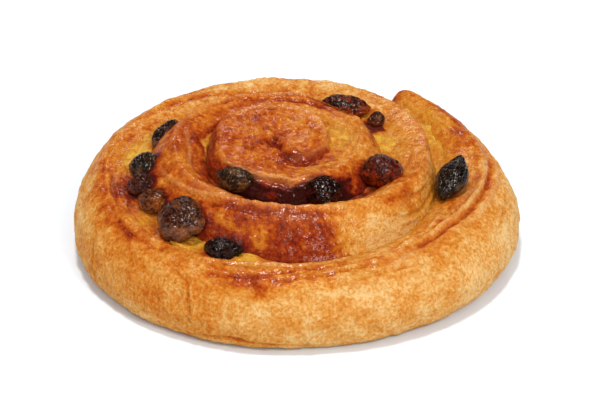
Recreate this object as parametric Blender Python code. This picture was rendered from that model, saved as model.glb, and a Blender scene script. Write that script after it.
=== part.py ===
"""A pain aux raisins: one strip of laminated dough wound into a coil, with custard between its turns
and raisins lying in the creases. Metres, +Z up, standing on z = 0 with its box centred on the origin.

Lengths below are millimetres. A place along the strip is given in turns, counter-clockwise seen from
above: 0, 1, 2 and so on point right (+X), .25 is the back, .5 the left and .75 the front.
"""

import math

import bmesh
import bpy
import numpy as np
from mathutils import Euler, Vector

MM = 0.001

# The strip, from its start in the eye of the coil to the blunt tail at the back right
START = 0.2
TAIL = 4.138
STATIONS_PER_TURN = 50
EYE_HOLE = 0.4          # radius left open where the first turn closes on itself
EYE_OPENS = 0.85        # place where the inner wall leaves the eye to go round the strip's own start
SLIT = 1.9              # room between two turns, filled with custard
GAP = 0.35              # clearance between pieces that touch
TAIL_ROUNDING = 0.012   # the cut tail is drawn in over this many turns
TAIL_DRAWN_IN = 0.07    # by this share of its size

# The section: its crest keeps off both walls by a share of the width, its two top slopes bulge, and
# the open outer wall is rounded towards an ellipse once it has no neighbour
CREST_FROM_INSIDE = 0.3
CREST_FROM_OUTSIDE = 0.12
ROUNDING = 0.65         # 1 gives a fully round rope, 0 a straight slope
WALL_ROUNDING = 0.75    # 1 gives the full ellipse
WALL_OPENS = 0.12       # turns over which that rounding sets in
INNER_SLOPE = (0.22, 0.45, 0.7, 1)          # shares of the slope that carry a point
OUTER_SLOPE = (0.72, 0.46, 0.24, 0.08, 0)
UNDERSIDE = (35, 65, 90)                    # degrees round the tucked lower wall

# The custard sheet in the slit, which wells up between the slopes with a low dome
CUSTARD = 1.2           # thickness of the sheet
CUSTARD_FLOOR = 0.5     # it stops this far above the tray
CUSTARD_SHORT = 0.02    # turns by which it stops short of the strip's start
TAIL_SHORT = 0.012      # and of the end of its last full turn
LEAST_LIP = 0.18        # where it wells up it is wider than the sheet by at least this on each side
MOST_LIP = 1.9          # and reaches no further than this from the middle of the slit
DOME = 0.12             # height of the dome as a share of its width

# Distance from the eye to the crease outside the strip
CREASE = ((0, 0), (.25, 3), (.5, 5), (.625, 6), (.75, 7.8), (.875, 12.3), (1, 15.3), (1.125, 17.4),
          (1.25, 19.2), (1.375, 17.8), (1.5, 15.6), (1.625, 17.8), (1.75, 21.5), (1.875, 25.6),
          (2, 27.5), (2.125, 28.6), (2.25, 29.7), (2.375, 30.4), (2.5, 33), (2.625, 35.4),
          (2.75, 37.3), (2.875, 39.3), (3, 39.8), (3.138, 43.2), (3.25, 44.2), (3.5, 46.5),
          (3.75, 50.5), (4, 55), (TAIL, 53))
# Distance from the eye to the top line of the strip
CREST = ((0, 0), (.25, 1.5), (.5, 2.5), (.75, 4), (.875, 7), (1, 11), (1.125, 15), (1.25, 17.2),
         (1.375, 15.6), (1.5, 12.8), (1.625, 14.5), (1.75, 16.8), (1.875, 19.2), (2, 20.6),
         (2.0625, 23.5), (2.125, 25.8), (2.25, 26.2), (2.375, 25.6), (2.5, 23.2), (2.625, 23.8),
         (2.75, 26.3), (2.875, 31.5), (3, 36.8), (TAIL - 1, 41), (3.25, 40), (3.5, 40.2),
         (3.75, 41.8), (4, 49.5), (TAIL, 49))
# Height of that top line, and of the crease outside it
CREST_HEIGHT = ((0, 26.6), (1, 26.6), (1.25, 26.8), (1.5, 26.4), (1.75, 26), (2, 25.2), (2.25, 25.6),
                (2.5, 24.8), (2.75, 24.8), (3, 22.8), (TAIL - 1, 22.3), (3.25, 22.4), (3.5, 19.3),
                (3.75, 16.6), (4, 18.4), (TAIL, 21.8))
CREASE_HEIGHT = ((0, 25.8), (.5, 25.6), (.75, 25), (1, 23.8), (1.25, 23.2), (1.5, 21.8), (1.75, 20.5),
                 (2, 20), (2.25, 20.5), (2.5, 18.2), (2.75, 15.4), (3, 16), (TAIL - 1, 18.5))
# The last turn has no neighbour outside it: its wall swells past the crease line, is widest at the
# waist height, and tucks in again to where it stands on the tray
SWELL = ((TAIL - 1, -SLIT / 2), (3.2, .8), (3.3, 2.2), (3.5, 1.2), (3.75, 1.5), (4, 4.4),
         (4.1, 2.2), (TAIL, 0))
WAIST = ((TAIL - 1, 18.5), (3.2, 11), (3.28, 7), (3.5, 6.5), (TAIL, 6.5))
TUCK = ((TAIL - 1, 0), (3.25, 4.5), (3.5, 3.7), (3.75, 4), (4, 5.9), (TAIL, 4))
# How far the custard wells up above the crease
WELL = ((START, .5), (.9, .5), (1.05, 1.4), (1.2, .5), (1.5, 1.1), (1.7, .5), (2, .5), (2.08, 1.3),
        (2.2, .5), (2.45, 1.3), (2.52, 1.2), (2.6, .6), (2.67, 1.5), (2.74, 1.5), (2.8, .5),
        (2.95, .5), (3.05, 1.3), (TAIL - 1, 1.1))

# Each raisin: place along the crease, distance outside it, height above it, then length, width and
# thickness, then the turn away from the crease's own direction, the rise of its nose and its lean
RAISINS = {
    "raisin_back_left": (2.429, -2.3, 2.4, 11.5, 4.4, 4.0, 0, -8, 35),
    "raisin_left_rear": (2.512, -2.8, 2.9, 7.4, 6.6, 4.8, 0, 0, 24),
    "raisin_left": (2.550, -1.6, 2.5, 6.0, 6.4, 4.2, 10, 0, 22),
    "raisin_left_front": (2.588, -1.9, 2.8, 7.8, 6.2, 4.4, 8, 4, 30),
    "raisin_large": (2.648, -1.4, 4.4, 12.4, 10.4, 6.8, 4, 3, 36),
    "raisin_dark": (2.703, .2, 1.8, 8.6, 6.0, 4.6, 6, 0, 20),
    "raisin_inner_left": (1.667, -1.5, 3.7, 9.4, 5.8, 4.8, 6, 2, 30),
    "raisin_inner_front": (1.838, -1.9, 3.3, 9.4, 7.8, 5.6, -40, -4, 18),
    "raisin_plump": (1.945, .4, 3.4, 9.2, 9.0, 7.8, 20, 0, 10),
    "raisin_rear": (2.150, 1.6, 2.2, 12.2, 6.2, 4.6, 20, 0, -16),
    "raisin_small": (2.099, 2.8, 1.9, 4.4, 4.2, 3.2, 0, 0, -20),
    "raisin_right": (2.976, 3.4, 4.4, 14.4, 7.4, 5.2, -14, 18, -14),
}
RAISIN_AROUND = 14
RAISIN_RINGS = 9

DOUGH_COLOUR = (0.62, 0.27, 0.07, 1)
CUSTARD_COLOUR = (0.72, 0.45, 0.09, 1)
RAISIN_COLOUR = (0.035, 0.016, 0.012, 1)


def along(table, turn):
    """A smooth curve through the table's (turn, value) pairs, flat past its ends."""
    turns = np.array([pair[0] for pair in table], float)
    values = np.array([pair[1] for pair in table], float)
    slopes = np.gradient(values, turns)
    i = int(np.clip(np.searchsorted(turns, turn) - 1, 0, len(turns) - 2))
    span = turns[i + 1] - turns[i]
    u = float(np.clip((turn - turns[i]) / span, 0, 1))
    return ((2 * u**3 - 3 * u**2 + 1) * values[i] + (u**3 - 2 * u**2 + u) * span * slopes[i]
            + (3 * u**2 - 2 * u**3) * values[i + 1] + (u**3 - u**2) * span * slopes[i + 1])


def inner_wall(turn):
    """Radius of the strip's inner wall: the eye, then the outside of the turn before."""
    settled = along(CREASE, START) + SLIT / 2
    if turn < 1 + START:
        share = np.clip((turn - EYE_OPENS) / (1 + START - EYE_OPENS), 0, 1)
        return EYE_HOLE + (settled - EYE_HOLE) * share**2 * (3 - 2 * share)
    return along(CREASE, turn - 1) + SLIT / 2


def outer_wall(turn):
    """Radius of the strip's outer wall at its widest, and the height where the top slope meets it."""
    if turn <= TAIL - 1:
        return along(CREASE, turn) - SLIT / 2, along(CREASE_HEIGHT, turn)
    return along(CREASE, turn) + along(SWELL, turn), along(WAIST, turn)


def rope(share):
    """Height share of the rounded top slope, 0 at its foot to 1 at the crest."""
    return ROUNDING * math.sin(math.pi / 2 * share) + (1 - ROUNDING) * share


def strip_section(turn):
    """The strip cut across at one place: (radius, height) from the inner foot over the top."""
    inner = inner_wall(turn)
    outer, waist = outer_wall(turn)
    width = outer - inner
    crest = max(along(CREST, turn), inner + CREST_FROM_INSIDE * width)
    crest = min(crest, outer - CREST_FROM_OUTSIDE * width)
    top = along(CREST_HEIGHT, turn)
    inner_foot = along(CREASE_HEIGHT, max(turn - 1, 0))
    tuck = along(TUCK, turn) if turn > TAIL - 1 else 0
    section = [(inner, 0), (inner, inner_foot)]
    for share in INNER_SLOPE:
        section.append((inner + (crest - inner) * share, inner_foot + (top - inner_foot) * rope(share)))
    open_side = WALL_ROUNDING * np.clip((turn - (TAIL - 1)) / WALL_OPENS, 0, 1)
    for share in OUTER_SLOPE:
        rise = rope(share) + open_side * (math.sqrt(1 - (1 - share)**2) - rope(share))
        section.append((outer - (outer - crest) * share, waist + (top - waist) * rise))
    for angle in UNDERSIDE:
        sweep = math.radians(angle)
        section.append((outer - tuck * (1 - math.cos(sweep)), waist * (1 - math.sin(sweep))))
    return section


def custard_section(turn):
    """The custard cut across: a thin sheet in the slit that wells up between the two slopes."""
    middle = along(CREASE, turn)
    foot = along(CREASE_HEIGHT, turn)
    level = foot + along(WELL, turn)
    crest_at = 1 + len(INNER_SLOPE)
    before = strip_section(turn)[crest_at:crest_at + 1 + len(OUTER_SLOPE)][::-1]
    after = strip_section(turn + 1)[1:crest_at + 1]
    half = CUSTARD / 2
    left = np.interp(level, [p[1] for p in before], [p[0] for p in before]) + GAP
    right = np.interp(level, [p[1] for p in after], [p[0] for p in after]) - GAP
    left = middle - np.clip(middle - left, half + LEAST_LIP, MOST_LIP)
    right = middle + np.clip(right - middle, half + LEAST_LIP, MOST_LIP)
    return [(middle - half, CUSTARD_FLOOR), (middle - half, foot), (left, level),
            ((left + right) / 2, level + DOME * (right - left)), (right, level),
            (middle + half, foot), (middle + half, CUSTARD_FLOOR)]


def turned(turn, radius, height, eye):
    """A point of the coil in metres."""
    angle = 2 * math.pi * turn
    return Vector(((eye[0] + radius * math.cos(angle)) * MM, (eye[1] + radius * math.sin(angle)) * MM,
                   height * MM))


def collection(name):
    made = bpy.data.collections.new(name)
    bpy.context.scene.collection.children.link(made)
    return made


def material(name, colour, roughness, coat):
    made = bpy.data.materials.new(name)
    made.use_nodes = True
    shader = made.node_tree.nodes["Principled BSDF"]
    shader.inputs["Base Color"].default_value = colour
    shader.inputs["Roughness"].default_value = roughness
    shader.inputs["Coat Weight"].default_value = coat
    return made


def loft(name, turns, section_at, eye, group, look):
    """A closed body through the sections at the given turns, with a flat face at each end."""
    mesh = bpy.data.meshes.new(name)
    body = bmesh.new()
    rings = []
    for turn in turns:
        rings.append([body.verts.new(turned(turn, r, z, eye)) for r, z in section_at(turn)])
    for ring, following in zip(rings, rings[1:]):
        for k in range(len(ring)):
            after = (k + 1) % len(ring)
            body.faces.new((ring[k], following[k], following[after], ring[after]))
    body.faces.new(rings[0])
    body.faces.new(rings[-1][::-1])
    bmesh.ops.recalc_face_normals(body, faces=body.faces)
    body.to_mesh(mesh)
    body.free()
    mesh.shade_smooth()
    mesh.set_sharp_from_angle(angle=math.radians(50))
    mesh.materials.append(look)
    made = bpy.data.objects.new(name, mesh)
    group.objects.link(made)
    return made


def tail_section(turn):
    """The strip's section, drawn in a little over its last stretch so that the cut end is rounded."""
    section = strip_section(turn)
    rounding = np.clip(1 - (TAIL - turn) / TAIL_ROUNDING, 0, 1)
    shrink = 1 - TAIL_DRAWN_IN * rounding**2
    middle = (section[0][0] + section[-1][0]) / 2
    return [(middle + (r - middle) * shrink, z * shrink) for r, z in section]


def coil_turns(first, last, extra=()):
    """Stations on one even grid, so that neighbouring turns have matching facets."""
    grid = np.arange(math.ceil(first * STATIONS_PER_TURN + 0.3), last * STATIONS_PER_TURN - 0.3)
    return sorted({first, last, *extra, *(grid / STATIONS_PER_TURN)})


def raisin(name, number, size, grow):
    """An uneven, flattened ball with shallow folds, grown outwards by a margin for its pocket."""
    mesh = bpy.data.meshes.new(name)
    body = bmesh.new()
    bmesh.ops.create_uvsphere(body, u_segments=RAISIN_AROUND, v_segments=RAISIN_RINGS, radius=0.5)
    bmesh.ops.rotate(body, cent=(0, 0, 0), matrix=Euler((0, math.pi / 2, 0)).to_matrix(), verts=body.verts)
    for vert in body.verts:
        x, y, z = vert.co * 2
        lump = 1 + 0.07 * math.sin(3.1 * x + 2 * number) + 0.06 * math.sin(4.3 * y - number + 2 * z)
        taper = 1 - 0.12 * x * math.sin(number * 1.7)
        bend = 0.05 * (x * x - 0.4)
        vert.co = Vector((x / 2 * lump * size[0], (y / 2 * lump * taper + bend) * size[1],
                          z / 2 * lump * taper * size[2])) * MM
    body.normal_update()
    for vert in body.verts:
        vert.co += vert.normal * grow * MM
    body.to_mesh(mesh)
    body.free()
    mesh.shade_smooth()
    return mesh


def cut(target, cutters):
    boolean = target.modifiers.new("pockets", "BOOLEAN")
    boolean.operation = "DIFFERENCE"
    boolean.operand_type = "COLLECTION"
    boolean.collection = cutters
    boolean.solver = "EXACT"


def main():
    for old in list(bpy.data.objects):
        bpy.data.objects.remove(old, do_unlink=True)
    pastry = collection("pain_aux_raisins")
    cutters = collection("cutters")

    turns = coil_turns(START, TAIL, extra=(TAIL - TAIL_ROUNDING / 2,))
    outline = [turned(turn, r, z, (0, 0)) / MM for turn in turns for r, z in tail_section(turn)]
    eye = [-(min(p[axis] for p in outline) + max(p[axis] for p in outline)) / 2 for axis in (0, 1)]

    dough = loft("dough_coil", turns, tail_section, eye, pastry,
                 material("baked_dough", DOUGH_COLOUR, 0.42, 0.3))
    custard_turns = coil_turns(START + CUSTARD_SHORT, TAIL - 1 - TAIL_SHORT)
    custard = loft("custard", custard_turns, custard_section, eye, pastry,
                   material("custard", CUSTARD_COLOUR, 0.35, 0.2))

    skin = material("raisin_skin", RAISIN_COLOUR, 0.28, 0.4)
    for number, (name, row) in enumerate(RAISINS.items()):
        turn, outside, lift, length, width, thickness, twist, rise, lean = row
        place = turned(turn, along(CREASE, turn) + outside, along(CREASE_HEIGHT, turn) + lift, eye)
        heading = 2 * math.pi * turn + math.pi / 2 + math.radians(twist)
        turning = Euler((math.radians(lean), -math.radians(rise), heading))
        for label, grow, group in ((name, 0, pastry), (name + "_pocket", GAP, cutters)):
            piece = bpy.data.objects.new(label, raisin(label, number, (length, width, thickness), grow))
            piece.location = place
            piece.rotation_euler = turning
            group.objects.link(piece)
            if grow:
                piece.hide_render = True
                piece.display_type = "WIRE"
            else:
                piece.data.materials.append(skin)
    cut(dough, cutters)
    cut(custard, cutters)


main()
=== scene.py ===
import math

import bpy
import numpy as np
from mathutils import Euler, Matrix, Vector, noise


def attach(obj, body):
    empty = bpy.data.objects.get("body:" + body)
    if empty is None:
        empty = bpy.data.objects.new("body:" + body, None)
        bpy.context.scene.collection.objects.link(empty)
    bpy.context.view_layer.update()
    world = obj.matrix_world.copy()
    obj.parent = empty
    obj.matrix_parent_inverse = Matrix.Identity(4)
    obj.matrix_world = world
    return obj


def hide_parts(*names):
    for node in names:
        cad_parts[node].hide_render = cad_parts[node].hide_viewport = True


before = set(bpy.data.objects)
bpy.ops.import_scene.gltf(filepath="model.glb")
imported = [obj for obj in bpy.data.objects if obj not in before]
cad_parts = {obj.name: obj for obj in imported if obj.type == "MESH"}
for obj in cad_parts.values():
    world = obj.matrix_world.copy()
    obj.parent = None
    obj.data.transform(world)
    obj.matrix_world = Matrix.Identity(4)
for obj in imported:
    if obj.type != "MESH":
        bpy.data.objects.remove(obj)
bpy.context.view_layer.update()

# The dough: one long strip of folded, buttered dough, rolled up round its filling and baked lying flat, so
# the layers of its cut edge face up. Egg wash browned its crests and creases, syrup glazed them, and the
# wall that touched nothing stayed pale, dry and wrinkled. Painted shade darkens its bare creases further.
# Lengths are millimetres, places are turns.
MM = 0.001
EYE = (-5.85, 3.07)     # middle of the coil
START = 0.2             # the strip begins in the eye and is cut off blunt at the back right
TAIL = 4.138
TAIL_ROUNDING = 0.012   # the cut end is drawn in over this many turns
TAIL_DRAWN_IN = 0.07    # by this share of its size
EYE_HOLE = 0.4          # radius left open where the first turn closes on itself
EYE_OPENS = 0.85        # where the inner wall leaves the eye to go round the strip's own start
SLIT = 1.9              # room between two turns, filled with custard
ROUNDING = 0.65         # 1 gives a fully round rope, 0 a straight slope
WALL_ROUNDING = 0.75    # the same for the outer wall once it has no neighbour
WALL_OPENS = 0.12       # turns over which that rounding sets in
CREST_FROM_INSIDE = 0.3     # the crest keeps off both walls by these shares of the width
CREST_FROM_OUTSIDE = 0.12
# Distance from the eye to the crease outside the strip
CREASE = ((0, 0), (.25, 3), (.5, 5), (.625, 6), (.75, 7.8), (.875, 12.3), (1, 15.3), (1.125, 17.4),
          (1.25, 19.2), (1.375, 17.8), (1.5, 15.6), (1.625, 17.8), (1.75, 21.5), (1.875, 25.6),
          (2, 27.5), (2.125, 28.6), (2.25, 29.7), (2.375, 30.4), (2.5, 33), (2.625, 35.4),
          (2.75, 37.3), (2.875, 39.3), (3, 39.8), (3.138, 43.2), (3.25, 44.2), (3.5, 46.5),
          (3.75, 50.5), (4, 55), (TAIL, 53))
# Distance from the eye to the top line of the strip
CREST = ((0, 0), (.25, 1.5), (.5, 2.5), (.75, 4), (.875, 7), (1, 11), (1.125, 15), (1.25, 17.2),
         (1.375, 15.6), (1.5, 12.8), (1.625, 14.5), (1.75, 16.8), (1.875, 19.2), (2, 20.6),
         (2.0625, 23.5), (2.125, 25.8), (2.25, 26.2), (2.375, 25.6), (2.5, 23.2), (2.625, 23.8),
         (2.75, 26.3), (2.875, 31.5), (3, 36.8), (TAIL - 1, 41), (3.25, 40), (3.5, 40.2),
         (3.75, 41.8), (4, 49.5), (TAIL, 49))
# Height of that top line, and of the crease outside it
CREST_HEIGHT = ((0, 26.6), (1, 26.6), (1.25, 26.8), (1.5, 26.4), (1.75, 26), (2, 25.2), (2.25, 25.6),
                (2.5, 24.8), (2.75, 24.8), (3, 22.8), (TAIL - 1, 22.3), (3.25, 22.4), (3.5, 19.3),
                (3.75, 16.6), (4, 18.4), (TAIL, 21.8))
CREASE_HEIGHT = ((0, 26.4), (.5, 26.3), (.7, 25.9), (.85, 24.6), (1, 23.8), (1.25, 23.2), (1.5, 21.8),
                 (1.75, 20.5), (2, 20), (2.25, 20.5), (2.5, 18.2), (2.75, 15.4), (3, 16), (TAIL - 1, 18.5))
# The last turn's free wall: how far it swells past the crease line, the height where it is widest, and
# how far it tucks in again to where it stands on the tray
SWELL = ((TAIL - 1, -SLIT / 2), (3.2, .8), (3.3, 2.2), (3.5, 1.2), (3.75, 1.5), (4, 4.4),
         (4.1, 2.2), (TAIL, 0))
WAIST = ((TAIL - 1, 18.5), (3.2, 11), (3.28, 7), (3.5, 6.5), (TAIL, 6.5))
TUCK = ((TAIL - 1, 0), (3.25, 4.5), (3.5, 3.7), (3.75, 4), (4, 5.9), (TAIL, 4))


def along(table, turns):
    """A smooth curve through the table's (turn, value) pairs, read at an array of turns."""
    knots, values = np.array(table, float).T
    slopes = np.gradient(values, knots)
    turns = np.clip(turns, knots[0], knots[-1])
    i = np.clip(np.searchsorted(knots, turns) - 1, 0, len(knots) - 2)
    span = knots[i + 1] - knots[i]
    u = (turns - knots[i]) / span
    return ((2 * u**3 - 3 * u**2 + 1) * values[i] + (u**3 - 2 * u**2 + u) * span * slopes[i]
            + (3 * u**2 - 2 * u**3) * values[i + 1] + (u**3 - u**2) * span * slopes[i + 1])


def ease(low, high, values):
    """0 below low, 1 above high, and a soft step between them."""
    share = np.clip((values - low) / (high - low), 0, 1)
    return share * share * (3 - 2 * share)


# How far each stretch of the slit stayed open, from 0, baked shut, to 1
OPEN = ((START, .06), (.74, .06), (.9, .6), (1, 1), (1.08, 1), (1.2, .3), (1.36, .1), (1.56, .1), (1.64, 1),
        (2.1, 1), (2.2, .2), (2.34, .2), (2.44, 1), (2.72, 1), (2.79, .06), (2.97, .06), (3.04, 1),
        (TAIL - 1, 1))


def half_slit(turns):
    """Half the room between two turns."""
    return SLIT / 2 * np.interp(turns, *np.transpose(OPEN))


def inner_wall(turns):
    """Radius of the wall that faces the eye."""
    settled = along(CREASE, START) + half_slit(START)
    opening = EYE_HOLE + (settled - EYE_HOLE) * ease(EYE_OPENS, 1 + START, turns)
    return np.where(turns < 1 + START, opening, along(CREASE, turns - 1) + half_slit(turns - 1))


def outer_wall(turns):
    """Radius of the wall at its widest, and the height where the top slope meets it."""
    free = turns > TAIL - 1
    radius = along(CREASE, turns) + np.where(free, along(SWELL, turns), -half_slit(turns))
    return radius, np.where(free, along(WAIST, turns), along(CREASE_HEIGHT, turns))


def rope(share):
    """Rise of a top slope over its own width, both 0 to 1."""
    return ROUNDING * np.sin(np.pi / 2 * share) + (1 - ROUNDING) * share


def strip_point(turns, place):
    """Radius and height on the strip. place runs across it: -2 at the inner foot, -1 at the inner
    crease, 0 on the crest, 1 at the outer crease or waist, 2 at the outer foot, 3 back at the inner."""
    inner = inner_wall(turns)
    outer, waist = outer_wall(turns)
    width = outer - inner
    crest = np.maximum(along(CREST, turns), inner + CREST_FROM_INSIDE * width)
    crest = np.minimum(crest, outer - CREST_FROM_OUTSIDE * width)
    top = along(CREST_HEIGHT, turns)
    foot = along(CREASE_HEIGHT, np.maximum(turns - 1, 0))
    tuck = np.where(turns > TAIL - 1, along(TUCK, turns), 0)
    open_side = WALL_ROUNDING * np.clip((turns - (TAIL - 1)) / WALL_OPENS, 0, 1)
    up = np.clip(1 + place, 0, 1)
    down = np.clip(1 - place, 0, 1)
    rise = rope(down) + open_side * (np.sqrt(1 - (1 - down)**2) - rope(down))
    sweep = np.pi / 2 * np.clip(place - 1, 0, 1)
    back = np.clip(place - 2, 0, 1)
    zones = [place < -1, place < 0, place < 1, place < 2]
    underside = outer - tuck + (inner - outer + tuck) * back
    radius = np.select(zones, [inner, inner + (crest - inner) * up, outer - (outer - crest) * down,
                               outer - tuck * (1 - np.cos(sweep))], underside)
    height = np.select(zones, [foot * (place + 2), foot + (top - foot) * rope(up),
                               waist + (top - waist) * rise, waist * (1 - np.sin(sweep))], 0)
    return radius, height


def cloud(points, size, seed=0):
    """Smooth noise of about -1 to 1 over points in millimetres, with features of the given size."""
    shift = Vector((seed * 7.31, seed * 3.77, seed * 5.13))
    return 1.5 * np.array([noise.noise(Vector(p) / size + shift) for p in points])


def on_coil(turns, place):
    """The points at these places of the strip, in millimetres."""
    radius, height = strip_point(turns, place)
    angle = 2 * np.pi * turns
    return np.stack([EYE[0] + radius * np.cos(angle), EYE[1] + radius * np.sin(angle), height], 1)


STEPS_PER_KNOT = 16
POINTS_AT_ONCE = 4000


def near_path(points, turns, path):
    """How far each point lies from a path of (turn, place) pairs drawn on the strip, in millimetres, and
    how far along the path that is, 0 to 1. Points of other turns lie far away."""
    knots = np.array(path, float)
    steps = np.linspace(0, len(knots) - 1, STEPS_PER_KNOT * (len(knots) - 1) + 1)
    line = on_coil(*(np.interp(steps, np.arange(len(knots)), knots[:, axis]) for axis in (0, 1)))
    away = np.full(len(points), 1e3)
    share = np.zeros(len(points))
    close = np.flatnonzero(abs(turns - knots[:, 0].mean()) < np.ptp(knots[:, 0]) / 2 + 0.06)
    for begin in range(0, len(close), POINTS_AT_ONCE):
        some = close[begin:begin + POINTS_AT_ONCE]
        distance = np.linalg.norm(points[some, None] - line[None], axis=2)
        away[some] = distance.min(1)
        share[some] = distance.argmin(1) / (len(line) - 1)
    return away, share


def patch(turns, place, spot):
    """1 in the middle of a (turn, place, half length in mm, half width across) spot, 0 away from it."""
    turn, at, length, width = spot
    reach = 2 * np.pi * along(CREST, turn)
    return np.exp(-((turns - turn) * reach / length)**2 - ((place - at) / width)**2)


def linear(red, green, blue):
    """A colour given as it looks on screen, 0 to 255, as the shader's linear value."""
    screen = np.array([red, green, blue]) / 255
    value = np.where(screen <= 0.04045, screen / 12.92, ((screen + 0.055) / 1.055)**2.4)
    return (*(float(v) for v in value), 1)


def deselect():
    bpy.ops.object.select_all(action="DESELECT")


def add_layer(mesh, name, values):
    """Gives each point of the mesh a number that the material reads."""
    layer = mesh.attributes.new(name, "FLOAT", "POINT")
    layer.data.foreach_set("value", np.ascontiguousarray(values, np.float32))


def flat_grid(name, rows, columns):
    """A flat grid of that many points each way, and the row and column of each of its points."""
    deselect()
    bpy.ops.mesh.primitive_grid_add(x_subdivisions=rows - 1, y_subdivisions=columns - 1, size=1)
    piece = bpy.context.object
    piece.name = name
    flat = np.empty(rows * columns * 3)
    piece.data.vertices.foreach_get("co", flat)
    row, column = np.rint((flat.reshape(-1, 3)[:, :2].T + 0.5) * [[rows - 1], [columns - 1]]).astype(int)
    return piece, row, column


def set_points(piece, points):
    piece.data.vertices.foreach_set("co", (points * MM).ravel())


def close_up(piece):
    """Merges the seam, closes the two ends and turns the faces outward."""
    bpy.ops.object.mode_set(mode="EDIT")
    bpy.ops.mesh.select_all(action="SELECT")
    bpy.ops.mesh.remove_doubles(threshold=1e-7)
    bpy.ops.mesh.select_all(action="DESELECT")
    bpy.ops.mesh.select_non_manifold(extend=False, use_wire=False, use_multi_face=False,
                                     use_non_contiguous=False, use_verts=False)
    bpy.ops.mesh.edge_face_add()
    bpy.ops.mesh.select_all(action="SELECT")
    bpy.ops.mesh.normals_make_consistent(inside=False)
    bpy.ops.object.mode_set(mode="OBJECT")
    bpy.ops.object.shade_smooth()


def outward(points, row, column):
    """Outward directions of a sheet of points."""
    order = np.lexsort((column, row))
    sheet = points[order].reshape(row.max() + 1, column.max() + 1, 3)
    direct = np.cross(np.gradient(sheet, axis=1), np.gradient(sheet, axis=0)).reshape(-1, 3)
    direct /= np.maximum(np.linalg.norm(direct, axis=1, keepdims=True), 1e-9)
    normal = np.empty_like(points)
    normal[order] = direct
    return -normal if ((points - points.mean(0)) * normal).sum() < 0 else normal


# Rows lie evenly along the strip, and the last few close its cut end at END_HEIGHT. Across it the points
# crowd towards the creases and the waist.
ROWS = 1230
END_ROWS = 14
END_HEIGHT = 9.8
PLACES = np.concatenate([np.linspace(-2, -1.05, 4), -np.cos(np.linspace(0, np.pi / 2, 21)),
                         np.sin(np.linspace(0, np.pi / 2, 31))[1:], np.linspace(1, 2, 15)[1:],
                         np.linspace(2, 3, 6)[1:]])
fine_turns = np.linspace(START, TAIL, 4000)
steps = np.diff(fine_turns) * 2 * np.pi * (along(CREST, fine_turns[1:]) + 3)
run = np.concatenate([[0], np.cumsum(steps)])
row_turns = np.interp(np.linspace(0, run[-1], ROWS), run, fine_turns)
row_turns = np.concatenate([row_turns, np.full(END_ROWS, TAIL)])
size = 1 - TAIL_DRAWN_IN * np.clip(1 - (TAIL - row_turns) / TAIL_ROUNDING, 0, 1)**2
size[ROWS:] = (1 - TAIL_DRAWN_IN) * np.linspace(1, 0, END_ROWS + 1)[1:]

dough, row, column = flat_grid("dough_crust", len(row_turns), len(PLACES))
turns = row_turns[row]
place = PLACES[column]
radius, height = strip_point(turns, place)
middle = (strip_point(turns, np.full_like(turns, -2))[0] + strip_point(turns, np.full_like(turns, 2))[0]) / 2
drawn_to = np.where(row < ROWS, 0, END_HEIGHT)
radius = middle + (radius - middle) * size[row]
height = np.maximum(drawn_to + (height - drawn_to) * size[row], 0)
angle = 2 * np.pi * turns
points = np.stack([EYE[0] + radius * np.cos(angle), EYE[1] + radius * np.sin(angle), height], 1)
length = np.interp(turns, fine_turns, run)
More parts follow.
